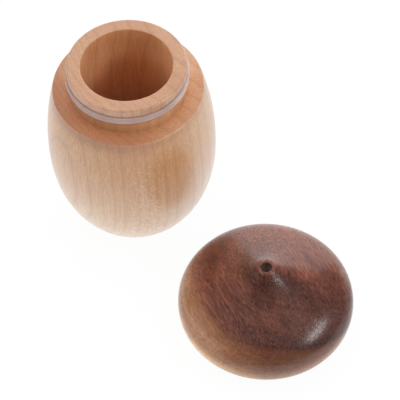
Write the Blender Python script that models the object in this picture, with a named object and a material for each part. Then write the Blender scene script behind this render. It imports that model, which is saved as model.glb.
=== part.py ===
"""Turned wooden toothpick dispenser: a barrel-shaped container, the soft ring in its neck, and its lid.

Metres, +Z up. The origin is the centre of the container's flat foot. The lid is off and stands on
the same surface, in front of the container and to its right: -Y is the front and +X is the right.
"""

import math

import bmesh
import bpy

# Container: bore, neck and shoulder, from the inside out
BORE_RADIUS = 0.0143
NECK_WALL = 0.0044
SHOULDER_WIDTH = 0.0049
BARREL_SWELL = 0.0034
FOOT_RADIUS = 0.0176

# Container: heights, from the foot up
FLOOR_THICKNESS = 0.006
BELLY_HEIGHT = 0.0304
SHOULDER_RISE = 0.0266
NECK_BELOW_GROOVE = 0.0043
NECK_ABOVE_GROOVE = 0.0025

# Container: how full its two curves are, where 2 is an ellipse and more is squarer
UPPER_FULLNESS = 2.0
LOWER_FULLNESS = 2.2

# Container: eased edges
BORE_LIP_EASE = 0.0003
NECK_LIP_EASE = 0.0006
SHOULDER_EASE = 0.0003
FOOT_EASE = 0.0008
FLOOR_EASE = 0.0005

# Soft ring in the neck's groove
RING_BAND = 0.0026
RING_THICKNESS = 0.0014
RING_PROUD = 0.0005
RING_GAP = 0.0003
RING_EASE = 0.0003

# Lid: outside
LID_SEAT_INSET = 0.0003
LID_SWELL = 0.0045
LID_BELLY_HEIGHT = 0.0075
LID_DOME_RISE = 0.0119
LID_HEIGHT = 0.0265
LID_LOWER_FULLNESS = 2.2
LID_DOME_FULLNESS = 2.37
LID_SEAT_EASE = 0.0005

# Lid: the point that the dome sweeps up to, and the hole that lets one toothpick out
POINT_SWEEP = 0.0085
POINT_RADIUS = 0.0028
POINT_EASE = 0.0009
HOLE_RADIUS = 0.00175
HOLE_LENGTH = 0.0062
HOLE_EASE = 0.0003

# Lid: inside
NECK_CLEARANCE = 0.0004
HEAD_CLEARANCE = 0.0006
RECESS_EASE = 0.0005

# Where the lid stands: from the container's axis to its own
LID_TO_THE_RIGHT = 0.0411
LID_TO_THE_FRONT = 0.0490

# How finely the outlines are drawn and turned
TURN_STEPS = 72
UPPER_STEPS = 10
LOWER_STEPS = 10
LID_LOWER_STEPS = 5
DOME_STEPS = 24
EASE_STEPS = 2
MERGE_DISTANCE = 1e-6
SHARP_ANGLE = math.radians(35)

# Sizes that follow from the ones above
NECK_RADIUS = BORE_RADIUS + NECK_WALL
SHOULDER_RADIUS = NECK_RADIUS + SHOULDER_WIDTH
BARREL_RADIUS = SHOULDER_RADIUS + BARREL_SWELL
SHOULDER_HEIGHT = BELLY_HEIGHT + SHOULDER_RISE
GROOVE_BOTTOM = SHOULDER_HEIGHT + NECK_BELOW_GROOVE
RING_BOTTOM = GROOVE_BOTTOM + RING_GAP
RING_TOP = RING_BOTTOM + RING_BAND
GROOVE_TOP = RING_TOP + RING_GAP
MOUTH_HEIGHT = GROOVE_TOP + NECK_ABOVE_GROOVE
RING_OUTER_RADIUS = NECK_RADIUS + RING_PROUD
RING_INNER_RADIUS = RING_OUTER_RADIUS - RING_THICKNESS
GROOVE_RADIUS = RING_INNER_RADIUS - RING_GAP
LID_SEAT_RADIUS = SHOULDER_RADIUS - LID_SEAT_INSET
LID_RADIUS = LID_SEAT_RADIUS + LID_SWELL
RECESS_RADIUS = NECK_RADIUS + NECK_CLEARANCE
RECESS_DEPTH = MOUTH_HEIGHT - SHOULDER_HEIGHT + HEAD_CLEARANCE
FUNNEL_TOP = LID_HEIGHT - HOLE_LENGTH


def swell(radius, edge_radius, rise, fullness, steps):
    """One half of a turned belly, as (radius, distance from its widest plane), widest point first.

    The curve is the superellipse that is `radius` wide in its widest plane, where it runs upright,
    and `edge_radius` wide at `rise` from that plane.
    """
    reach = rise / (1 - (edge_radius / radius) ** fullness) ** (1 / fullness)
    last_turn = math.asin((rise / reach) ** (fullness / 2))
    points = []
    for step in range(steps + 1):
        turn = last_turn * step / steps
        across = radius * math.cos(turn) ** (2 / fullness)
        along = reach * math.sin(turn) ** (2 / fullness)
        points.append((across, along))
    return points


def dome_height(radius):
    """Height of the lid's plain dome at this distance from the lid's axis."""
    share = 1 - (radius / LID_RADIUS) ** LID_DOME_FULLNESS
    return LID_BELLY_HEIGHT + LID_DOME_RISE * share ** (1 / LID_DOME_FULLNESS)


def point_share(radius):
    """How much of the sweep up to the lid's point there is at this radius: none at the lid's edge."""
    return math.exp(-radius / POINT_SWEEP) - math.exp(-LID_RADIUS / POINT_SWEEP)


def lid_top_outline():
    """The lid's upper outline, from the edge of its point down to its widest plane."""
    sweep_rise = (LID_HEIGHT - dome_height(POINT_RADIUS)) / point_share(POINT_RADIUS)
    last_turn = math.acos((POINT_RADIUS / LID_RADIUS) ** (LID_DOME_FULLNESS / 2))
    points = []
    for step in range(DOME_STEPS, -1, -1):
        turn = last_turn * step / DOME_STEPS
        radius = LID_RADIUS * math.cos(turn) ** (2 / LID_DOME_FULLNESS)
        points.append((radius, dome_height(radius) + sweep_rise * point_share(radius)))
    return points


def eased(corner, before, after, ease):
    """The corner of an outline turned into an arc of radius `ease` that runs smoothly into both sides."""
    to_before = [before[0] - corner[0], before[1] - corner[1]]
    to_after = [after[0] - corner[0], after[1] - corner[1]]
    for side in (to_before, to_after):
        length = math.hypot(*side)
        side[0] /= length
        side[1] /= length
    half_angle = math.acos(to_before[0] * to_after[0] + to_before[1] * to_after[1]) / 2
    bisector = [to_before[0] + to_after[0], to_before[1] + to_after[1]]
    to_centre = ease / math.sin(half_angle) / math.hypot(*bisector)
    centre = (corner[0] + bisector[0] * to_centre, corner[1] + bisector[1] * to_centre)
    to_tangent = ease / math.tan(half_angle)
    start = [corner[axis] + to_before[axis] * to_tangent - centre[axis] for axis in (0, 1)]
    end = [corner[axis] + to_after[axis] * to_tangent - centre[axis] for axis in (0, 1)]
    first_turn = math.atan2(start[1], start[0])
    whole_turn = math.atan2(end[1], end[0]) - first_turn
    whole_turn = (whole_turn + math.pi) % (2 * math.pi) - math.pi
    arc = []
    for step in range(EASE_STEPS + 1):
        turn = first_turn + whole_turn * step / EASE_STEPS
        arc.append((centre[0] + ease * math.cos(turn), centre[1] + ease * math.sin(turn)))
    return arc


def with_eased_corners(outline):
    """The outline's (radius, height) points, with an arc for each point that has an ease as third value."""
    points = []
    for index, point in enumerate(outline):
        if len(point) == 2:
            points.append(point)
            continue
        before = outline[index - 1]
        after = outline[(index + 1) % len(outline)]
        points.extend(eased(point[:2], before[:2], after[:2], point[2]))
    return points


def container_outline():
    """From the middle of the bore's floor, up the bore, over the mouth and down the outside to the foot."""
    upper = swell(BARREL_RADIUS, SHOULDER_RADIUS, SHOULDER_RISE, UPPER_FULLNESS, UPPER_STEPS)
    lower = swell(BARREL_RADIUS, FOOT_RADIUS, BELLY_HEIGHT, LOWER_FULLNESS, LOWER_STEPS)
    outline = [
        (0, FLOOR_THICKNESS),
        (BORE_RADIUS, FLOOR_THICKNESS, FLOOR_EASE),
        (BORE_RADIUS, MOUTH_HEIGHT, BORE_LIP_EASE),
        (NECK_RADIUS, MOUTH_HEIGHT, NECK_LIP_EASE),
        (NECK_RADIUS, GROOVE_TOP),
        (GROOVE_RADIUS, GROOVE_TOP),
        (GROOVE_RADIUS, GROOVE_BOTTOM),
        (NECK_RADIUS, GROOVE_BOTTOM),
        (NECK_RADIUS, SHOULDER_HEIGHT),
        (SHOULDER_RADIUS, SHOULDER_HEIGHT, SHOULDER_EASE),
    ]
    outline += [(radius, BELLY_HEIGHT + along) for radius, along in reversed(upper[:-1])]
    outline += [(radius, BELLY_HEIGHT - along) for radius, along in lower[1:-1]]
    outline += [(FOOT_RADIUS, 0, FOOT_EASE), (0, 0)]
    return outline


def ring_outline():
    """The soft ring's section, a closed band with eased edges."""
    return [
        (RING_OUTER_RADIUS, RING_TOP, RING_EASE),
        (RING_OUTER_RADIUS, RING_BOTTOM, RING_EASE),
        (RING_INNER_RADIUS, RING_BOTTOM, RING_EASE),
        (RING_INNER_RADIUS, RING_TOP, RING_EASE),
    ]


def lid_outline():
    """The lid's closed section: down the outside, across the seat, up the recess, funnel and hole."""
    lower = swell(LID_RADIUS, LID_SEAT_RADIUS, LID_BELLY_HEIGHT, LID_LOWER_FULLNESS, LID_LOWER_STEPS)
    top = lid_top_outline()
    outline = [(*top[0], POINT_EASE)] + top[1:]
    outline += [(radius, LID_BELLY_HEIGHT - along) for radius, along in lower[1:-1]]
    outline += [
        (LID_SEAT_RADIUS, 0, LID_SEAT_EASE),
        (RECESS_RADIUS, 0, RECESS_EASE),
        (RECESS_RADIUS, RECESS_DEPTH, RECESS_EASE),
        (BORE_RADIUS, RECESS_DEPTH, RECESS_EASE),
        (HOLE_RADIUS, FUNNEL_TOP),
        (HOLE_RADIUS, LID_HEIGHT, HOLE_EASE),
    ]
    return outline


def turned(name, outline, closed, material):
    """A solid turned about the object's own Z axis from an outline of (radius, height) points."""
    points = with_eased_corners(outline)
    bm = bmesh.new()
    rail = [bm.verts.new((radius, 0, height)) for radius, height in points]
    edges = [bm.edges.new(pair) for pair in zip(rail, rail[1:])]
    if closed:
        edges.append(bm.edges.new((rail[-1], rail[0])))
    bmesh.ops.spin(
        bm,
        geom=rail + edges,
        cent=(0, 0, 0),
        axis=(0, 0, 1),
        angle=2 * math.pi,
        steps=TURN_STEPS,
        use_merge=True,
    )
    bmesh.ops.remove_doubles(bm, verts=bm.verts, dist=MERGE_DISTANCE)
    bmesh.ops.recalc_face_normals(bm, faces=bm.faces)
    mesh = bpy.data.meshes.new(name)
    bm.to_mesh(mesh)
    bm.free()
    mesh.shade_smooth()
    mesh.set_sharp_from_angle(angle=SHARP_ANGLE)
    mesh.materials.append(material)
    obj = bpy.data.objects.new(name, mesh)
    bpy.context.scene.collection.objects.link(obj)
    return obj


def surface(name, colour, roughness):
    """A plain material of one linear colour."""
    material = bpy.data.materials.new(name)
    material.use_nodes = True
    shader = material.node_tree.nodes["Principled BSDF"]
    shader.inputs["Base Color"].default_value = (*colour, 1)
    shader.inputs["Roughness"].default_value = roughness
    shader.inputs["Metallic"].default_value = 0
    material.diffuse_color = (*colour, 1)
    return material


def clear_scene():
    for obj in list(bpy.data.objects):
        bpy.data.objects.remove(obj, do_unlink=True)


def main():
    clear_scene()
    maple = surface("maple", (0.58, 0.35, 0.21), 0.45)
    walnut = surface("walnut", (0.125, 0.048, 0.034), 0.4)
    silicone = surface("silicone", (0.43, 0.335, 0.305), 0.45)

    container = turned("container", container_outline(), False, maple)
    ring = turned("seal_ring", ring_outline(), True, silicone)
    ring.parent = container
    lid = turned("lid", lid_outline(), True, walnut)
    lid.location = (LID_TO_THE_RIGHT, -LID_TO_THE_FRONT, 0)


main()
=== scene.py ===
"""The looks of a turned toothpick dispenser: a maple container with a soft ring round its neck, and
its walnut lid standing beside it.

Shapes are in metres, with the table at height 0 and the container's axis upright through the
origin. The grain of the wood is drawn in millimetres."""
import math

import bmesh
import bpy
from mathutils import Matrix, Vector


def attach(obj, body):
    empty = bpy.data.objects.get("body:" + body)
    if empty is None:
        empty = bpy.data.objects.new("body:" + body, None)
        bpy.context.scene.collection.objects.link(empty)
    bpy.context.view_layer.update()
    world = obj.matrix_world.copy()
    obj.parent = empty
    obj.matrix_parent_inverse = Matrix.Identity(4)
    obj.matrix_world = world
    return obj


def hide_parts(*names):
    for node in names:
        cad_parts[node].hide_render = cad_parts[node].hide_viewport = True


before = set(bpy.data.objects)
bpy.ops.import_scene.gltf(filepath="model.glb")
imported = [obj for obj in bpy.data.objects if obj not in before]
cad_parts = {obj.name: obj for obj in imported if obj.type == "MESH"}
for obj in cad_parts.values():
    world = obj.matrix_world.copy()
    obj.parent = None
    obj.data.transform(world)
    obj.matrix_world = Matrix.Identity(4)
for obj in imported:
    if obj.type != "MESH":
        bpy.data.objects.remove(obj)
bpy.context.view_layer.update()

MM = 0.001

# The container, from its foot up to its mouth and down its bore.
FOOT_RADIUS = 17.6 * MM
BARREL_RADIUS = 27.0 * MM
BELLY_HEIGHT = 30.4 * MM
SHOULDER_RADIUS = 23.6 * MM
SHOULDER_HEIGHT = 57.0 * MM
NECK_RADIUS = 18.7 * MM
GROOVE_RADIUS = 17.5 * MM
GROOVE_LOW = 61.3 * MM
GROOVE_HIGH = 64.22 * MM
MOUTH_HEIGHT = 67.0 * MM
BORE_RADIUS = 14.3 * MM
FLOOR_HEIGHT = 6.0 * MM
UPPER_FULLNESS = 2.0
LOWER_FULLNESS = 2.2

# How wide each of the container's edges is rounded off.
FOOT_EDGE = 0.6 * MM
SHOULDER_EDGE = 0.24 * MM
GROOVE_EDGE = 0.12 * MM
NECK_EDGE = 0.6 * MM
MOUTH_EDGE = 0.3 * MM
BORE_FLOOR_EDGE = 0.5 * MM

# The ring in the neck's groove. Between its lips it is dished to this share of its radius.
RING_INNER_RADIUS = 17.8 * MM
RING_OUTER_RADIUS = 19.2 * MM
RING_LOW = 61.6 * MM
RING_HIGH = 64.2 * MM
RING_LIP = 0.45 * MM
RING_DISH = 0.993
RING_EDGE = 0.15 * MM

# The lid, from its rim up over its belly to the point, and down its hole.
LID_AXIS = Vector((41.1 * MM, -49.0 * MM, 0.0))
LID_SEAT_RADIUS = 23.3 * MM
LID_RADIUS = 27.8 * MM
LID_BELLY_HEIGHT = 7.5 * MM
LID_DOME_RISE = 11.9 * MM
LID_HEIGHT = 26.5 * MM
LID_LOWER_FULLNESS = 2.2
LID_DOME_FULLNESS = 2.37
POINT_SWEEP = 8.5 * MM
POINT_RADIUS = 2.8 * MM
HOLE_RADIUS = 1.75 * MM
HOLE_FOOT = 20.3 * MM
RECESS_DEPTH = 10.6 * MM
RECESS_RADIUS = 19.1 * MM

# How wide each of the lid's edges is rounded off.
LID_SEAT_EDGE = 0.35 * MM
RECESS_EDGE = 0.4 * MM
POINT_EDGE = 0.42 * MM
HOLE_EDGE = 0.28 * MM
HOLE_FOOT_EDGE = 0.2 * MM

# How finely the curves are drawn, how near two places count as one, and the angle up to which
# faces are shaded as one smooth surface.
ROUND_STEPS = 256
SWELL_STEPS = 40
DOME_STEPS = 64
EASE_STEPS = 4
SAME_PLACE = 0.02 * MM
SMOOTH_ANGLE = math.radians(35)


def side(degrees):
    """A level direction: 0 is the right, 90 the back, and -90 the front."""
    return (math.cos(math.radians(degrees)), math.sin(math.radians(degrees)), 0)


# The maple's growth lines stand upright. They are counted across the barrel towards this side, away
# from the heart of the tree, which lies this far from the barrel's axis. They cross the barrel at
# these distances from its axis, counted over this span on each side of it, and the bow bends them
# above and below the belly.
MAPLE_TURN = math.radians(-146)
MAPLE_HEART_MM = 60.0
MAPLE_RINGS_MM = (-24.0, -19.0, -14.0, -8.9, -4.0, 0.4, 6.9, 10.1,
                  12.6, 14.9, 17.0, 19.9, 21.7, 23.4, 25.1, 26.5)
MAPLE_SPAN_MM = 28.0
MAPLE_BOW = 0.003

# The sides of the container towards which the shoulder gets painted shade from the neck, towards
# which the maple gets painted light, where its figure shows, where the bore is warmer, and where
# its wall gets painted light. The shoulder is paler straight at the back, and the ring gets painted
# light straight on the right.
NECK_SHADE_SIDE = side(-150)
MAPLE_LIT_SIDE = side(-28)
FIGURED_SIDE = side(-79)
BACK_SIDE = (0, 1, 0)
RING_LIT_SIDE = (1, 0, 0)
BORE_BACK_SIDE = side(95)
BORE_LIT_SIDE = side(25)

# The maple's fibre, from its deepest to its palest, and the painted light that the flat shoulder's
# colour is multiplied by, from the neck out to the edge, strongest against the neck's shade.
MAPLE_FIBRE = [(0.0, (0.57, 0.325, 0.185)), (1.0, (0.65, 0.395, 0.24))]
SHOULDER_PAINTED_LIGHT = [(0.0, (1.36, 1.20, 1.24)), (1.0, (1.06, 0.95, 1.02))]

# The walnut's grain lies flat, and runs along X once it is turned by this much. Its pale sapwood is
# underneath: its upper face is this high under the lid's point, and tilts and bends along and
# across the grain. Its growth rings are this thick.
WALNUT_TURN = math.radians(66)
SAPWOOD_TOP_MM = 16.155
SAPWOOD_TILT = (-0.1118, 0.259)
SAPWOOD_BEND = (0.0084, -0.0052, 0.0109)
WALNUT_RING_MM = 1.5

# The sides of the lid from which painted light falls on the walnut, at its back and on its left,
# and towards which its colour drifts. Its right is a little to the back.
LIT_BACK_SIDE = side(66)
LIT_LEFT_SIDE = side(178)
PALE_SIDE = side(-165)
RUST_SIDE = side(158)
LID_RIGHT_SIDE = (1, 0.2, 0)

# The walnut's heartwood and sapwood, the painted light that the heartwood is multiplied by from the
# back and from the left, the middle of its painted shade in front of the point, and the hole's wall
# from its mouth down, paler further down with painted light.
HEARTWOOD = [(0.0, (0.105, 0.031, 0.018)), (1.0, (0.170, 0.052, 0.030))]
SAPWOOD = [(0.0, (0.165, 0.060, 0.031)), (0.25, (0.18, 0.066, 0.034)),
           (0.8, (0.335, 0.143, 0.070)), (1.0, (0.46, 0.210, 0.096))]
PAINTED_BACK_LIGHT = [(0.0, (0.86, 0.86, 0.92)), (0.55, (0.98, 0.97, 0.98)),
                (0.8, (1.5, 1.3, 1.15)), (1.0, (2.45, 2.0, 1.5))]
PAINTED_LEFT_LIGHT = [(0.0, (0.70, 0.70, 0.75)), (0.5, (1.05, 1.03, 1.02)),
              (0.78, (1.22, 1.20, 1.18)), (1.0, (1.72, 1.66, 1.62))]
SHADE_SPOT = (-2.0 * MM, -7.5 * MM, 0)
HOLE_WALL_LIT_BELOW = [(0.0, (0.09, 0.058, 0.048)), (1.0, (0.65, 0.48, 0.41))]

# The ring's cloudy silicone.
SILICONE = [(0.3, (0.385, 0.275, 0.245)), (0.7, (0.455, 0.33, 0.295))]

# The floor's width and own colour, and the share of it that glows white: for the light that it
# sends back, and for the camera, which sees the shadows on the rest of it.
FLOOR_SIZE = 6.0
FLOOR_COLOUR = (0.9, 0.9, 0.9, 1)
FLOOR_GLOW = 0.85
FLOOR_SEEN = 0.96

# Each lamp's name, which way and how high up it hangs in degrees, how far away it is, how wide and
# how tall, its glow, and whether gloss shows it. All of them face the middle of the object.
MIDDLE = Vector((0.021, -0.02, 0.03))
LAMPS = (
    ("side_lamp", -21, 38, 1.0, 0.44, 0.17, 9.2, True),
    ("back_lamp", 75, 22, 1.2, 1.25, 0.95, 1.35, True),
    ("left_lamp", -165, 14, 1.5, 1.4, 0.9, 1.3, True),
    ("ceiling_lamp", -90, 88, 1.5, 1.8, 1.8, 0.3, True),
    ("high_back_fill", 95, 58, 1.5, 2.4, 1.8, 1.9, False),
    ("high_right_fill", -5, 45, 1.5, 1.4, 1.2, 0.8, False),
    ("high_left_fill", 185, 50, 1.5, 1.4, 1.2, 0.6, False),
    ("back_left_fill", 150, 30, 1.5, 1.4, 1.2, 1.0, False),
    ("front_fill", -85, 14, 1.5, 1.8, 0.9, 1.75, False),
    ("right_fill", -30, 12, 1.5, 1.4, 0.9, 1.0, False),
)

# The camera looks down from the front at this place on the table, from this far, a little askew.
CAMERA_AIM = Vector((0.021272, -0.00328, 0))
CAMERA_DISTANCE = 0.588
CAMERA_DOWN = math.radians(53.83)
CAMERA_ROLL = math.radians(-1.74)
CAMERA_LENS = 157.3
CAMERA_SENSOR = 36
CAMERA_REACH = 100


def deselect():
    """Nothing is selected afterwards."""
    bpy.ops.object.select_all(action="DESELECT")


def swell(radius, edge_radius, rise, fullness, steps):
    """Radii and heights of a bulging wall, from its widest place to its edge."""
    reach = rise / (1 - (edge_radius / radius) ** fullness) ** (1 / fullness)
    last_angle = math.asin((rise / reach) ** (fullness / 2))
    angles = [last_angle * step / steps for step in range(steps + 1)]
    return [(radius * math.cos(angle) ** (2 / fullness), reach * math.sin(angle) ** (2 / fullness))
            for angle in angles]


def dome_height(radius):
    """Height of the lid's plain dome at a radius."""
    share = 1 - (radius / LID_RADIUS) ** LID_DOME_FULLNESS
    return LID_BELLY_HEIGHT + LID_DOME_RISE * max(share, 0.0) ** (1 / LID_DOME_FULLNESS)


def point_share(radius):
    """How far the sweep up to the point has risen at a radius."""
    return math.exp(-radius / POINT_SWEEP) - math.exp(-LID_RADIUS / POINT_SWEEP)


def lid_top_height(radius):
    """Height of the lid's top, dome and point together, at a radius."""
    sweep_rise = (LID_HEIGHT - dome_height(POINT_RADIUS)) / point_share(POINT_RADIUS)
    return dome_height(radius) + sweep_rise * point_share(radius)


def turn(name, axis, outline):
    """Turns a piece: a circle at the outline's first place, drawn on from ring to ring."""
    radius, height = outline[0]
    deselect()
    bpy.ops.mesh.primitive_circle_add(vertices=ROUND_STEPS, radius=radius,
                                      location=(axis.x, axis.y, height))
    piece = bpy.context.active_object
    piece.name = name
    bpy.ops.object.transform_apply(location=True, rotation=True, scale=True)
    bpy.ops.object.mode_set(mode="EDIT")
    bpy.ops.mesh.select_all(action="SELECT")
    for next_radius, next_height in outline[1:]:
        bpy.ops.mesh.extrude_region_move(
            TRANSFORM_OT_translate={"value": (0, 0, next_height - height)})
        widening = next_radius / radius
        bpy.ops.transform.resize(value=(widening, widening, 1),
                                 center_override=(axis.x, axis.y, next_height))
        radius, height = next_radius, next_height
    return piece


def close_ends():
    """Closes the two open ends of the piece in hand with a disc each, fanned from its middle."""
    bpy.ops.mesh.select_all(action="DESELECT")
    bpy.ops.mesh.select_mode(type="EDGE")
    bpy.ops.mesh.select_non_manifold()
    bpy.ops.mesh.fill_holes(sides=0)
    bpy.ops.mesh.select_all(action="DESELECT")
    bpy.ops.mesh.select_mode(type="FACE")
    bpy.ops.mesh.select_face_by_sides(number=4, type="GREATER")
    bpy.ops.mesh.poke()


def join_ends():
    """Joins the first ring of the piece in hand to its last one."""
    bpy.ops.mesh.select_all(action="DESELECT")
    bpy.ops.mesh.select_mode(type="EDGE")
    bpy.ops.mesh.select_non_manifold()
    bpy.ops.mesh.bridge_edge_loops()


def ease_edges(piece, axis, edges):
    """Rounds off the edges that run round the piece, each given by its radius, height and width."""
    for radius, height, width in edges:
        bpy.ops.mesh.select_all(action="DESELECT")
        bpy.ops.mesh.select_mode(type="EDGE")
        shape = bmesh.from_edit_mesh(piece.data)
        for edge in shape.edges:
            if all(abs(math.hypot(end.co.x - axis.x, end.co.y - axis.y) - radius) < SAME_PLACE
                   and abs(end.co.z - height) < SAME_PLACE for end in edge.verts):
                edge.select_set(True)
        bmesh.update_edit_mesh(piece.data)
        bpy.ops.mesh.bevel(offset=width, segments=EASE_STEPS, affect="EDGES", clamp_overlap=True)


def finish_piece(piece, body, node, finish):
    """Smooths the piece, gives it its finish, and puts it on its body in its node's place."""
    bpy.ops.mesh.select_all(action="SELECT")
    bpy.ops.mesh.normals_make_consistent(inside=False)
    bpy.ops.object.mode_set(mode="OBJECT")
    bpy.ops.object.shade_smooth_by_angle(angle=SMOOTH_ANGLE)
    bpy.ops.object.modifier_add(type="WEIGHTED_NORMAL")
    piece.modifiers[-1].keep_sharp = True
    bpy.ops.object.modifier_apply(modifier=piece.modifiers[-1].name)
    piece.data.materials.append(finish)
    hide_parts(node)
    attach(piece, body)
    deselect()


def make_container(finish):
    """The barrel, its shoulder, neck and groove, and the blind bore."""
    axis = Vector((0, 0, 0))
    lower = swell(BARREL_RADIUS, FOOT_RADIUS, BELLY_HEIGHT, LOWER_FULLNESS, SWELL_STEPS)
    upper = swell(BARREL_RADIUS, SHOULDER_RADIUS, SHOULDER_HEIGHT - BELLY_HEIGHT,
                  UPPER_FULLNESS, SWELL_STEPS)
    outline = [(radius, BELLY_HEIGHT - drop) for radius, drop in reversed(lower)]
    outline += [(radius, BELLY_HEIGHT + rise) for radius, rise in upper[1:]]
    outline += [(NECK_RADIUS, SHOULDER_HEIGHT), (NECK_RADIUS, GROOVE_LOW),
                (GROOVE_RADIUS, GROOVE_LOW), (GROOVE_RADIUS, GROOVE_HIGH),
                (NECK_RADIUS, GROOVE_HIGH), (NECK_RADIUS, MOUTH_HEIGHT),
                (BORE_RADIUS, MOUTH_HEIGHT), (BORE_RADIUS, FLOOR_HEIGHT)]
    container = turn("maple_container", axis, outline)
    close_ends()
    ease_edges(container, axis, (
        (FOOT_RADIUS, 0.0, FOOT_EDGE),
        (SHOULDER_RADIUS, SHOULDER_HEIGHT, SHOULDER_EDGE),
        (NECK_RADIUS, GROOVE_LOW, GROOVE_EDGE),
        (NECK_RADIUS, MOUTH_HEIGHT, NECK_EDGE),
        (BORE_RADIUS, MOUTH_HEIGHT, MOUTH_EDGE),
        (BORE_RADIUS, FLOOR_HEIGHT, BORE_FLOOR_EDGE)))
    finish_piece(container, "container", "container", finish)


def make_ring(finish):
    """The soft band round the neck, faintly dished between two lips."""
    axis = Vector((0, 0, 0))
    dished_radius = RING_OUTER_RADIUS * RING_DISH
    outline = [(RING_INNER_RADIUS, RING_LOW), (RING_OUTER_RADIUS, RING_LOW),
               (RING_OUTER_RADIUS, RING_LOW + RING_LIP), (dished_radius, RING_LOW + 2 * RING_LIP),
               (dished_radius, RING_HIGH - 2 * RING_LIP), (RING_OUTER_RADIUS, RING_HIGH - RING_LIP),
               (RING_OUTER_RADIUS, RING_HIGH), (RING_INNER_RADIUS, RING_HIGH)]
    ring = turn("neck_ring", axis, outline)
    join_ends()
    ease_edges(ring, axis, [(radius, height, RING_EDGE)
                            for radius in (RING_INNER_RADIUS, RING_OUTER_RADIUS)
                            for height in (RING_LOW, RING_HIGH)])
    finish_piece(ring, "container", "seal_ring", finish)


def make_lid(finish):
    """The lid: rim, belly, dome and point, then the hole, the funnel and the recess."""
    lower = swell(LID_RADIUS, LID_SEAT_RADIUS, LID_BELLY_HEIGHT, LID_LOWER_FULLNESS,
                  SWELL_STEPS // 2)
    outline = [(radius, LID_BELLY_HEIGHT - drop) for radius, drop in reversed(lower)]
    power = 2 / LID_DOME_FULLNESS
    last_angle = math.asin((POINT_RADIUS / LID_RADIUS) ** (1 / power))
    for step in range(1, DOME_STEPS + 1):
        angle = math.pi / 2 + (last_angle - math.pi / 2) * step / DOME_STEPS
        radius = LID_RADIUS * math.sin(angle) ** power
        outline.append((radius, lid_top_height(radius)))
    outline += [(HOLE_RADIUS, LID_HEIGHT), (HOLE_RADIUS, HOLE_FOOT), (BORE_RADIUS, RECESS_DEPTH),
                (RECESS_RADIUS, RECESS_DEPTH), (RECESS_RADIUS, 0.0)]
    lid = turn("walnut_lid", LID_AXIS, outline)
    join_ends()
    ease_edges(lid, LID_AXIS, (
        (LID_SEAT_RADIUS, 0.0, LID_SEAT_EDGE),
        (RECESS_RADIUS, 0.0, RECESS_EDGE),
        (POINT_RADIUS, LID_HEIGHT, POINT_EDGE),
        (HOLE_RADIUS, LID_HEIGHT, HOLE_EDGE),
        (HOLE_RADIUS, HOLE_FOOT, HOLE_FOOT_EDGE)))
    finish_piece(lid, "lid", "lid", finish)


def new_finish(name):
    """An empty finish: its nodes, the shader that they feed, and the place on the piece."""
    finish = bpy.data.materials.new(name)
    finish.use_nodes = True
    tree = finish.node_tree
    here = add(tree, "ShaderNodeTexCoord").outputs["Object"]
    return finish, tree, tree.nodes["Principled BSDF"], here


def add(tree, kind, values=None, **settings):
    """A node with these settings. Its inputs take a value each, or what another node gives."""
    node = tree.nodes.new(kind)
    for key, value in settings.items():
        setattr(node, key, value)
    for key, value in (values or {}).items():
        if isinstance(value, bpy.types.NodeSocket):
            tree.links.new(value, node.inputs[key])
        else:
            node.inputs[key].default_value = value
    return node


def sum_of(tree, operation, first, second=0.0, third=0.0):
    """One step of arithmetic on the values in a pattern."""
    return add(tree, "ShaderNodeMath", {0: first, 1: second, 2: third},
               operation=operation).outputs[0]


def times(tree, first, *others):
    """The product of several values, or the share where several patterns meet."""
    for other in others:
        first = sum_of(tree, "MULTIPLY", first, other)
    return first


def vector_sum(tree, operation, place, other=(0, 0, 0)):
    """One step of arithmetic on a place, which gives a single value."""
    return add(tree, "ShaderNodeVectorMath", {0: place, 1: other},
               operation=operation).outputs["Value"]


def toward(tree, place, direction):
    """How far a place lies towards one side."""
    return vector_sum(tree, "DOT_PRODUCT", place, direction)


def axes_of(tree, place):
    """The three distances that make up a place."""
    return add(tree, "ShaderNodeSeparateXYZ", {0: place}).outputs[:3]


def along_grain(tree, place, turned):
    """The place in millimetres, turned so that the wood's grain runs along an axis."""
    return add(tree, "ShaderNodeMapping", {"Vector": place, "Scale": (1000, 1000, 1000),
                                           "Rotation": (0, 0, turned)}).outputs[0]


def stretched(tree, place, stretch, shift=(0, 0, 0)):
    """The place scaled along each direction, so that a pattern on it is drawn out."""
    return add(tree, "ShaderNodeMapping", {"Vector": place, "Scale": stretch,
                                           "Location": shift}).outputs[0]


def clouds(tree, place, detail=2.0, roughness=0.5):
    """A soft random pattern, from 0 to 1."""
    return add(tree, "ShaderNodeTexNoise", {"Vector": place, "Scale": 1.0, "Detail": detail,
                                            "Roughness": roughness}).outputs["Fac"]


def ramp(tree, value, stops):
    """Turns a value into grey levels or colours through a list of stops."""
    node = add(tree, "ShaderNodeValToRGB", {"Fac": value})
    colours = node.color_ramp
    while len(colours.elements) < len(stops):
        colours.elements.new(0.5)
    for element, (position, shade) in zip(colours.elements, stops):
        element.position = position
        element.color = (*shade, 1) if isinstance(shade, tuple) else (shade, shade, shade, 1)
    return node.outputs[0]


def spread(tree, value, low, high):
    """Maps a value between two limits onto 0 to 1, smoothly. The limits may run downwards."""
    return add(tree, "ShaderNodeMapRange", {0: value, 1: low, 2: high, 3: 0.0, 4: 1.0},
               interpolation_type="SMOOTHSTEP").outputs[0]


def marks(tree, pattern, low, high, most):
    """Marks where a pattern rises between two levels, as strong as this share at most."""
    return times(tree, spread(tree, pattern, low, high), most)


def band(tree, value, low, full, still_full, high):
    """A share that rises to 1 between two limits and falls back to 0 between two more."""
    return times(tree, spread(tree, value, low, full), spread(tree, value, high, still_full))


def wobble(tree, value, pattern, amount):
    """Shifts a value to and fro by a pattern."""
    centred = sum_of(tree, "SUBTRACT", pattern, 0.5)
    return sum_of(tree, "MULTIPLY_ADD", centred, amount, value)


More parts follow.
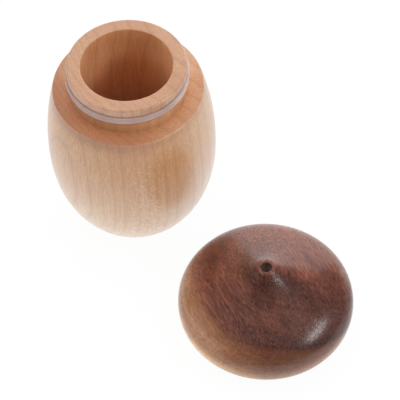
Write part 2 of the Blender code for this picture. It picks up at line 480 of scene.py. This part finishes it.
def lay(tree, share, under, over, mode="MIX"):
    """Lays one colour over another by a share."""
    over = (*over, 1) if isinstance(over, tuple) else over
    node = add(tree, "ShaderNodeMix", {0: share, 6: under, 7: over}, data_type="RGBA",
               blend_type=mode)
    return node.outputs[2]


def lay_all(tree, colour, layers):
    """Lays colours over another one after the other, each by its share."""
    for share, over in layers:
        colour = lay(tree, share, colour, over)
    return colour


def tint_all(tree, colour, tints):
    """Multiplies a colour by tints one after the other, each by its share."""
    for share, tint in tints:
        colour = lay(tree, share, colour, tint, "MULTIPLY")
    return colour


def relief(tree, pattern, strength, depth, sunk=False):
    """Fine relief that a pattern draws on a surface, as normals."""
    return add(tree, "ShaderNodeBump", {"Height": pattern, "Strength": strength,
                                        "Distance": depth}, invert=sunk).outputs[0]


def lacquer(shader, index, roughness):
    """A clear coat over the wood. The higher its index of refraction, the more it shines."""
    shader.inputs["Specular IOR Level"].default_value = 0.2
    shader.inputs["Coat Weight"].default_value = 1.0
    shader.inputs["Coat IOR"].default_value = index
    shader.inputs["Coat Roughness"].default_value = roughness


def maple_finish():
    """Pale maple under satin lacquer."""
    finish, tree, shader, here = new_finish("maple")
    place = along_grain(tree, here, -MAPLE_TURN)
    fibre = clouds(tree, stretched(tree, place, (1.6, 1.6, 0.04)), detail=4.0, roughness=0.6)
    fine_fibre = clouds(tree, stretched(tree, place, (2.8, 2.8, 0.12)), detail=1.0)
    x, y, height = axes_of(tree, place)
    from_axis = sum_of(tree, "SQRT", sum_of(tree, "MULTIPLY_ADD", x, x, times(tree, y, y)))
    turned_front = sum_of(tree, "DIVIDE", toward(tree, here, FIGURED_SIDE),
                          times(tree, from_axis, MM))

    wood = maple_wood(tree, place, fibre, fine_fibre)
    wood = maple_figure(tree, place, wood, height, turned_front)
    outside = maple_outside(tree, here, wood, height, from_axis, turned_front)
    bore = maple_bore(tree, here, place, wood, height)
    bore_wall = BORE_RADIUS / MM
    in_bore = spread(tree, from_axis, bore_wall + 0.15, bore_wall + 0.05)
    tree.links.new(lay(tree, in_bore, outside, bore), shader.inputs["Base Color"])

    grain = sum_of(tree, "MULTIPLY_ADD", fine_fibre, 0.6, fibre)
    tree.links.new(relief(tree, grain, strength=0.12, depth=0.06 * MM), shader.inputs["Normal"])
    tree.links.new(sum_of(tree, "MULTIPLY_ADD", fibre, 0.10, 0.40), shader.inputs["Roughness"])
    lacquer(shader, index=1.75, roughness=0.28)
    return finish


def maple_growth_line(tree, place):
    """The dark end of each year's growth: 1 on a line, and 0 between two lines."""
    x, y, height = axes_of(tree, place)
    from_heart = sum_of(tree, "ADD", x, MAPLE_HEART_MM)
    squared = times(tree, from_heart, from_heart)
    across = sum_of(tree, "SQRT", sum_of(tree, "MULTIPLY_ADD", y, y, squared))
    across = sum_of(tree, "SUBTRACT", across, MAPLE_HEART_MM)
    above = sum_of(tree, "SUBTRACT", height, BELLY_HEIGHT / MM)
    across = sum_of(tree, "MULTIPLY_ADD", times(tree, above, above), MAPLE_BOW, across)
    across = wobble(tree, across, clouds(tree, stretched(tree, place, (0.05, 0.05, 0.008))), 0.8)
    across = wobble(tree, across, clouds(tree, stretched(tree, place, (0.5, 0.5, 0.03))), 0.3)
    level = add(tree, "ShaderNodeMapRange",
                {0: across, 1: -MAPLE_SPAN_MM, 2: MAPLE_SPAN_MM}).outputs[0]
    count = len(MAPLE_RINGS_MM) + 1
    stops = [(0.0, 0.0)]
    stops += [((line + MAPLE_SPAN_MM) / (2 * MAPLE_SPAN_MM), (number + 1) / count)
              for number, line in enumerate(MAPLE_RINGS_MM)]
    stops += [(1.0, 1.0)]
    year = sum_of(tree, "FRACT", times(tree, ramp(tree, level, stops), count))
    return ramp(tree, year, [(0.0, 1.0), (0.05, 0.25), (0.2, 0.0), (0.7, 0.05), (0.92, 0.4),
                             (1.0, 1.0)])


def maple_wood(tree, place, fibre, fine_fibre):
    """The plain wood: fibre, warm patches, growth lines, fine streaks, dashes and pale flecks."""
    patch = clouds(tree, stretched(tree, place, (0.06, 0.06, 0.03)), detail=1.0)
    dash = clouds(tree, stretched(tree, place, (2.0, 2.0, 1.1), (4.2, 7.3, 1.9)), detail=1.0)
    fleck = clouds(tree, stretched(tree, place, (0.3, 2.2, 0.7)))
    return lay_all(tree, ramp(tree, spread(tree, fibre, 0.3, 0.7), MAPLE_FIBRE), (
        (marks(tree, patch, 0.45, 0.7, most=0.35), (0.52, 0.25, 0.13)),
        (times(tree, maple_growth_line(tree, place), 0.46), (0.36, 0.17, 0.075)),
        (marks(tree, fine_fibre, 0.38, 0.62, most=0.28), (0.36, 0.20, 0.10)),
        (marks(tree, dash, 0.52, 0.66, most=0.30), (0.36, 0.19, 0.10)),
        (marks(tree, fleck, 0.6, 0.72, most=0.22), (0.66, 0.44, 0.27))))


def maple_figure(tree, place, wood, height, turned_front):
    """Short dark and pale curls in an upright strip on the barrel's front, below its shoulder."""
    curl = clouds(tree, stretched(tree, place, (0.8, 0.9, 1.5), (5.5, 2.2, 8.1)), detail=1.0)
    strip = times(tree, spread(tree, turned_front, 0.972, 0.992), spread(tree, height, 53.0, 46.0))
    dark_curl = times(tree, strip, marks(tree, curl, 0.5, 0.64, most=0.28))
    pale_curl = times(tree, strip, marks(tree, curl, 0.48, 0.34, most=0.28))
    return lay_all(tree, wood, (
        (dark_curl, (0.40, 0.235, 0.125)),
        (pale_curl, (0.78, 0.56, 0.37))))


def maple_outside(tree, here, wood, height, from_axis, turned_front):
    """The wood outside the bore, tinted zone by zone, with painted light and shade among the tints.
    The rim has none of these, but a darker tint of painted shade of its own.
    """
    # The barrel is darker towards its top, and paler towards its foot: painted light from the white
    # floor.
    upper = spread(tree, height, 30.0, 50.0)
    lower = spread(tree, height, 38.0, 16.0)
    foot_floor_light = spread(tree, height, 18.0, 9.0)
    upper_front = times(tree, spread(tree, turned_front, 0.70, 0.97),
                        band(tree, height, 35.0, 46.0, 55.8, 56.6))
    # Painted light on the barrel's right side, which faces the side lamp.
    right = spread(tree, toward(tree, here, MAPLE_LIT_SIDE), 18.0 * MM, 26.0 * MM)
    # Painted shade from the neck: the shoulder's front left is darker and redder.
    neck_shade = times(tree, spread(tree, toward(tree, here, NECK_SHADE_SIDE), -4.0 * MM, 21.0 * MM),
                  spread(tree, height, 50.0, 57.0))
    shoulder = band(tree, height, 56.2, 56.9, 57.05, 57.3)
    outwards = spread(tree, from_axis, NECK_RADIUS / MM, SHOULDER_RADIUS / MM)
    shoulder_back = times(tree, shoulder,
                          spread(tree, toward(tree, here, BACK_SIDE), 0.0, 9.0 * MM))
    shoulder_edge = band(tree, height, 53.0, 55.6, 56.3, 56.9)
    neck = marks(tree, height, 56.9, 57.4, most=0.6)
    # A painted shadow: the dark line under the ring.
    under_ring_shade = band(tree, height, 60.2, 61.1, 61.3, 61.5)
    outside = tint_all(tree, wood, (
        (upper, (0.90, 0.83, 0.68)),
        (lower, (1.22, 1.44, 1.64)),
        (foot_floor_light, (1.12, 1.16, 1.18)),
        (upper_front, (0.97, 0.91, 0.82)),
        (right, (1.06, 1.14, 1.24)),
        (neck_shade, (0.80, 0.70, 0.67)),
        # Painted light on the flat shoulder, strongest by the neck.
        (shoulder, ramp(tree, outwards, SHOULDER_PAINTED_LIGHT)),
        (shoulder_back, (1.06, 1.25, 1.45)),
        (shoulder_edge, (0.88, 0.84, 0.76)),
        (neck, (0.93, 0.82, 0.75)),
        (under_ring_shade, (0.72, 0.62, 0.58))))
    # Painted shade: the rim and the neck above the ring are darker.
    rim = lay(tree, 1.0, wood, (0.855, 0.81, 0.845), "MULTIPLY")
    return lay(tree, spread(tree, height, 61.5, 63.0), outside, rim)


def maple_bore(tree, here, place, wood, height):
    """The bare wood of the bore, warmer at the top of its back wall, with painted shade deep down,
    painted light on its right wall near the mouth, and faint turning marks.
    """
    # Painted shade deeper down the bore.
    deep_shade = spread(tree, height, 60.0, 35.0)
    top_back = times(tree, spread(tree, toward(tree, here, BORE_BACK_SIDE), 5.0 * MM, 11.5 * MM),
                     spread(tree, height, 54.0, 64.0))
    # Painted light on the bore's right wall, near its mouth.
    lit_right_wall = times(tree, spread(tree, toward(tree, here, BORE_LIT_SIDE), 9.0 * MM, 14.0 * MM),
                      spread(tree, height, 66.0, 56.0))
    turning = clouds(tree, stretched(tree, place, (0.22, 0.22, 3.2), (1.7, 6.3, 0.8)), detail=1.0)
    bare = lay(tree, 1.0, wood, (1.40, 1.32, 1.19), "MULTIPLY")
    return tint_all(tree, bare, (
        (deep_shade, (0.86, 0.80, 0.86)),
        (top_back, (0.78, 0.70, 0.62)),
        (lit_right_wall, (1.18, 1.32, 1.42)),
        (marks(tree, turning, 0.45, 0.62, most=0.3), (0.80, 0.76, 0.74))))


def walnut_finish():
    """Dark walnut over a paler layer of sapwood, with short open pores, under satin lacquer."""
    finish, tree, shader, here = new_finish("walnut")
    centred = stretched(tree, here, (1, 1, 1), tuple(-LID_AXIS))
    place = along_grain(tree, centred, WALNUT_TURN)
    fibre = clouds(tree, stretched(tree, place, (0.16, 2.4, 2.4)), roughness=0.55)
    pore = clouds(tree, stretched(tree, place, (0.42, 2.6, 2.6), (3.1, 0.4, 7.7)), detail=1.0)
    pores = spread(tree, pore, 0.55, 0.64)
    colour = walnut_colour(tree, centred, place, fibre, pores)
    tree.links.new(colour, shader.inputs["Base Color"])

    open_grain = sum_of(tree, "MULTIPLY_ADD", fibre, 0.5, pores)
    sunk_grain = relief(tree, open_grain, strength=0.45, depth=0.05 * MM, sunk=True)
    tree.links.new(sunk_grain, shader.inputs["Normal"])
    tree.links.new(sunk_grain, shader.inputs["Coat Normal"])
    tree.links.new(sum_of(tree, "MULTIPLY_ADD", pores, 0.2, 0.5), shader.inputs["Roughness"])
    lacquer(shader, index=1.5, roughness=0.22)
    worn = walnut_wear(tree, centred)
    tree.links.new(sum_of(tree, "SUBTRACT", 1.0, worn), shader.inputs["Coat Weight"])
    return finish


def walnut_colour(tree, centred, place, fibre, pores):
    """Heartwood over sapwood, with fibre and pores over both, and the hole."""
    along, over, height = axes_of(tree, place)
    layer = above_sapwood(tree, place)
    year = sum_of(tree, "FRACT", sum_of(tree, "DIVIDE", layer, WALNUT_RING_MM))
    line = ramp(tree, year, [(0.0, 0.9), (0.12, 0.25), (0.35, 0.0), (0.75, 0.1), (1.0, 0.9)])
    in_layers = add(tree, "ShaderNodeCombineXYZ", {0: layer, 1: along, 2: over}).outputs[0]
    layer_line = clouds(tree, stretched(tree, in_layers, (1.5, 0.05, 0.12)))
    streak = clouds(tree, stretched(tree, place, (0.03, 0.5, 0.5)), detail=3.0)

    dark = walnut_heartwood(tree, centred, place, layer, line, streak)
    dark = walnut_drifts_and_painted_light(tree, centred, dark, layer, layer_line)
    pale = walnut_sapwood(tree, centred, height, line, layer_line, streak)
    in_heart = spread(tree, layer, -0.9, 0.7)
    colour = lay(tree, in_heart, pale, dark)

    at_back = spread(tree, toward(tree, centred, LIT_BACK_SIDE), 0.0, 18.0 * MM)
    fibre_share = sum_of(tree, "MULTIPLY_ADD", at_back, 0.1, 0.5)
    fibre_marks = times(tree, spread(tree, fibre, 0.40, 0.60), fibre_share)
    pore_marks = times(tree, pores, sum_of(tree, "MULTIPLY_ADD", in_heart, 0.2, 0.3))
    colour = lay(tree, fibre_marks, colour, (0.55, 0.50, 0.47), "MULTIPLY")
    colour = walnut_hole(tree, centred, colour, height)
    return lay(tree, pore_marks, colour, (0.32, 0.26, 0.24), "MULTIPLY")


def above_sapwood(tree, place):
    """How far a place is above the sapwood, in millimetres, and below 0 inside it."""
    along, over, height = axes_of(tree, place)
    along_tilt, over_tilt = SAPWOOD_TILT
    along_bend, twist, over_bend = SAPWOOD_BEND
    layer = sum_of(tree, "SUBTRACT", height, SAPWOOD_TOP_MM)
    for distance, slope in ((along, along_tilt), (over, over_tilt),
                            (times(tree, along, along), along_bend),
                            (times(tree, along, over), twist),
                            (times(tree, over, over), over_bend)):
        layer = sum_of(tree, "MULTIPLY_ADD", distance, slope, layer)
    layer = wobble(tree, layer, clouds(tree, stretched(tree, place, (0.05, 0.09, 0.09))), 0.4)
    return wobble(tree, layer, clouds(tree, stretched(tree, place, (0.12, 0.7, 0.7))), 0.25)


def from_point(tree, centred):
    """How far a place is, on the level, from the lid's axis, which runs through its point."""
    return vector_sum(tree, "LENGTH", stretched(tree, centred, (1, 1, 0)))


def rust(tree, centred):
    """The share of the lid's left that is rusty in colour, and where the dark seam ends."""
    return spread(tree, toward(tree, centred, RUST_SIDE), 12.5 * MM, 19.0 * MM)


def walnut_heartwood(tree, centred, place, layer, line, streak):
    """The dark wood: lines, a darker point with painted shade on its front and left, a dark seam
    over the sapwood, and pale fibres.
    """
    light_fibre = clouds(tree, stretched(tree, place, (0.12, 2.6, 2.6), (8.3, 5.1, 2.2)),
                         detail=1.0)
    behind_point = times(tree,
                         spread(tree, toward(tree, centred, LIT_BACK_SIDE), -2.5 * MM, 2.5 * MM),
                         spread(tree, from_point(tree, centred), 9.0 * MM, 5.0 * MM))
    right = spread(tree, toward(tree, centred, LID_RIGHT_SIDE), 5.0 * MM, 14.0 * MM)
    paler = sum_of(tree, "MAXIMUM", behind_point, right)
    # Darker layers at the point, with painted shade on its front and left, less behind it and on
    # the right.
    point = times(tree, spread(tree, layer, 4.8, 7.2),
                  sum_of(tree, "MULTIPLY_ADD", paler, -0.6, 0.8))
    left = spread(tree, toward(tree, centred, PALE_SIDE), 9.0 * MM, 17.0 * MM)
    seam = times(tree, band(tree, layer, 0.0, 0.6, 0.9, 2.2),
                 sum_of(tree, "SUBTRACT", 1.0, rust(tree, centred)),
                 sum_of(tree, "MULTIPLY_ADD", left, -0.7, 1.0), 0.65)
    return lay_all(tree, ramp(tree, spread(tree, streak, 0.3, 0.7), HEARTWOOD), (
        (times(tree, line, 0.4), (0.055, 0.018, 0.012)),
        (point, (0.07, 0.024, 0.016)),
        (seam, (0.055, 0.018, 0.013)),
        (marks(tree, light_fibre, 0.46, 0.68, most=0.42), (0.25, 0.105, 0.070))))


def walnut_drifts_and_painted_light(tree, centred, dark, layer, layer_line):
    """The dark wood's painted light from the back, from the left and beside the point, its painted
    shade in front of the point, its rusty colour on the left, and its lines along the layers.
    """
    to_back = toward(tree, centred, LIT_BACK_SIDE)
    to_right = toward(tree, centred, LID_RIGHT_SIDE)
    # Painted light: the heartwood is brighter towards the back.
    to_lit_back = spread(tree, to_back, -24.0 * MM, 24.0 * MM)
    # Painted light: the heartwood is brighter towards the left.
    to_lit_left = spread(tree, toward(tree, centred, LIT_LEFT_SIDE), -22.0 * MM, 22.0 * MM)
    # Painted light beside the point, on its right.
    light_beside_point = times(tree, band(tree, to_back, 0.0, 4.0 * MM, 7.0 * MM, 12.0 * MM),
                         band(tree, to_right, 1.0 * MM, 5.0 * MM, 14.0 * MM, 22.0 * MM))
    # Painted shade in front of the point.
    from_shade_spot = vector_sum(tree, "DISTANCE", stretched(tree, centred, (1, 1, 0)), SHADE_SPOT)
    rusty = times(tree, rust(tree, centred), spread(tree, layer, 0.4, 2.6))
    return tint_all(tree, dark, (
        (marks(tree, layer_line, 0.42, 0.62, most=0.38), (0.62, 0.58, 0.58)),
        (1.0, ramp(tree, to_lit_back, PAINTED_BACK_LIGHT)),
        (light_beside_point, (1.5, 1.45, 1.45)),
        (spread(tree, from_shade_spot, 6.5 * MM, 1.5 * MM), (0.70, 0.66, 0.66)),
        (1.0, ramp(tree, to_lit_left, PAINTED_LEFT_LIGHT)),
        (rusty, (0.42, 0.26, 0.18))))


def walnut_sapwood(tree, centred, height, line, layer_line, streak):
    """The pale wood: faint lines and streaks, paler still towards the left, wood and painted light
    from that side, and paler at the low edge with a painted reflection of the white floor.
    """
    pale = ramp(tree, spread(tree, toward(tree, centred, PALE_SIDE), 0.0, 26.0 * MM), SAPWOOD)
    pale = lay(tree, spread(tree, streak, 0.35, 0.65), pale, (0.86, 0.82, 0.78), "MULTIPLY")
    pale = lay(tree, times(tree, line, 0.2), pale, (0.20, 0.080, 0.035))
    return tint_all(tree, pale, (
        # Painted reflection of the white floor, paler towards the low edge.
        (spread(tree, height, 11.5, 6.5), (1.85, 2.1, 2.1)),
        (spread(tree, height, 9.5, 7.0), (1.2, 1.4, 1.35)),
        (marks(tree, layer_line, 0.40, 0.62, most=0.5), (0.74, 0.70, 0.66))))


def walnut_hole(tree, centred, colour, height):
    """Painted light on the rim round the hole, and the hole's own wall, paler further down with
    painted light.
    """
    top = LID_HEIGHT / MM
    # Painted light along the hole's eased rim.
    lit_hole_rim = spread(tree, height, top - 0.35, top - 0.15)
    colour = lay(tree, lit_hole_rim, colour, (1.7, 1.8, 1.8), "MULTIPLY")
    # The hole's wall, paler further down: painted light.
    wall = ramp(tree, spread(tree, height, top - 0.5, top - 4.0), HOLE_WALL_LIT_BELOW)
    in_hole = times(tree, spread(tree, from_point(tree, centred), HOLE_RADIUS + 0.2 * MM,
                                 HOLE_RADIUS + 0.1 * MM),
                    spread(tree, height, top - 0.2, top - 0.3))
    return lay(tree, in_hole, colour, wall)


def walnut_wear(tree, centred):
    """Where the lacquer is thinner: in front of the point, and along the belly on the right."""
    to_back = toward(tree, centred, LIT_BACK_SIDE)
    to_right = toward(tree, centred, LID_RIGHT_SIDE)
    out = from_point(tree, centred)
    front = times(tree, spread(tree, out, 12.0 * MM, 7.0 * MM),
                  spread(tree, to_back, 1.0 * MM, -2.0 * MM), 0.5)
    right = times(tree, spread(tree, to_right, 18.0 * MM, 24.0 * MM),
                  spread(tree, to_back, 15.0 * MM, 8.0 * MM),
                  spread(tree, out, 27.4 * MM, 26.2 * MM), 0.6)
    return sum_of(tree, "MAXIMUM", front, right)


def silicone_finish():
    """Soft pale grey silicone, a little see-through and faintly cloudy, with painted light on the
    right.
    """
    finish, tree, shader, here = new_finish("silicone")
    haze = clouds(tree, stretched(tree, here, (220, 220, 400)), detail=3.0)
    # Painted light on the ring's right side, where the side lamp falls.
    ring_painted_light = spread(tree, toward(tree, here, RING_LIT_SIDE), 12.0 * MM, 18.5 * MM)
    colour = lay(tree, ring_painted_light, ramp(tree, haze, SILICONE), (1.3, 1.5, 1.6), "MULTIPLY")
    tree.links.new(colour, shader.inputs["Base Color"])
    dust = clouds(tree, stretched(tree, here, (1500, 1500, 1500)))
    tree.links.new(sum_of(tree, "MULTIPLY_ADD", dust, 0.12, 0.36), shader.inputs["Roughness"])
    tree.links.new(relief(tree, dust, strength=0.06, depth=0.03 * MM), shader.inputs["Normal"])
    shader.inputs["Subsurface Weight"].default_value = 0.3
    shader.inputs["Subsurface Radius"].default_value = (1.0, 0.85, 0.8)
    shader.inputs["Subsurface Scale"].default_value = 1.2 * MM
    return finish


def floor_finish():
    """White for the camera, with a faint shadow. For the rest it glows, except under the lid."""
    finish, tree, shader, here = new_finish("floor")
    shader.inputs["Base Color"].default_value = FLOOR_COLOUR
    shader.inputs["Roughness"].default_value = 0.9
    shader.inputs["Specular IOR Level"].default_value = 0.0
    rays = add(tree, "ShaderNodeLightPath").outputs
    white = add(tree, "ShaderNodeEmission", {"Color": (1, 1, 1, 1), "Strength": 1.0})
    from_lid = vector_sum(tree, "DISTANCE", here, LID_AXIS)
    open_floor = spread(tree, from_lid, RECESS_RADIUS, LID_SEAT_RADIUS)
    share = sum_of(tree, "MULTIPLY_ADD", rays["Is Glossy Ray"], 1.0 - FLOOR_GLOW, FLOOR_GLOW)
    share = times(tree, share, open_floor)
    missing = sum_of(tree, "SUBTRACT", FLOOR_SEEN, share)
    share = sum_of(tree, "MULTIPLY_ADD", rays["Is Camera Ray"], missing, share)
    mixed = add(tree, "ShaderNodeMixShader", {0: share, 1: shader.outputs[0], 2: white.outputs[0]})
    tree.links.new(mixed.outputs[0], tree.nodes["Material Output"].inputs["Surface"])
    return finish


def lay_floor():
    """The white floor that both pieces stand on."""
    deselect()
    bpy.ops.mesh.primitive_plane_add(size=FLOOR_SIZE, location=(0, 0, 0))
    floor = bpy.context.active_object
    floor.name = "white_floor"
    floor.data.materials.append(floor_finish())


def light_the_room():
    """A room that the camera sees as white. It gives no light, which comes from the lamps alone."""
    room = bpy.data.worlds.new("white_room")
    bpy.context.scene.world = room
    room.use_nodes = True
    tree = room.node_tree
    rays = add(tree, "ShaderNodeLightPath").outputs
    ground = tree.nodes["Background"]
    ground.inputs["Color"].default_value = (1, 1, 1, 1)
    tree.links.new(rays["Is Camera Ray"], ground.inputs["Strength"])


def hang_lamp(name, degrees_round, degrees_up, distance, width, height, glow, mirrored):
    """A soft rectangular lamp that faces the object. Its glow is the brightness of its face."""
    up = math.radians(degrees_up)
    away = Vector([share * math.cos(up) for share in side(degrees_round)])
    away.z = math.sin(up)
    deselect()
    bpy.ops.object.light_add(type="AREA", location=MIDDLE + away * distance)
    lamp = bpy.context.active_object
    lamp.name = name
    lamp.rotation_euler = away.to_track_quat("Z", "Y").to_euler()
    lamp.data.shape = "RECTANGLE"
    lamp.data.size = width
    lamp.data.size_y = height
    lamp.data.energy = glow * width * height * math.pi
    lamp.visible_glossy = mirrored


def set_camera():
    """The camera looks down at the two pieces from the front."""
    ahead = Vector((0, math.cos(CAMERA_DOWN), -math.sin(CAMERA_DOWN)))
    level = Vector((1, 0, 0))
    upright = Vector((0, math.sin(CAMERA_DOWN), math.cos(CAMERA_DOWN)))
    right = level * math.cos(CAMERA_ROLL) + upright * math.sin(CAMERA_ROLL)
    top = upright * math.cos(CAMERA_ROLL) - level * math.sin(CAMERA_ROLL)
    deselect()
    bpy.ops.object.camera_add(location=CAMERA_AIM - ahead * CAMERA_DISTANCE)
    camera = bpy.context.active_object
    camera.name = "camera"
    camera.rotation_euler = Matrix((right, top, -ahead)).transposed().to_euler()
    camera.data.sensor_width = CAMERA_SENSOR
    camera.data.lens = CAMERA_LENS
    camera.data.clip_end = CAMERA_REACH
    bpy.context.scene.camera = camera


def main():
    """Makes the pieces, then the room round them."""
    make_container(maple_finish())
    make_ring(silicone_finish())
    make_lid(walnut_finish())
    lay_floor()
    light_the_room()
    for lamp in LAMPS:
        hang_lamp(*lamp)
    set_camera()
    bpy.context.scene.view_settings.view_transform = "Standard"


main()
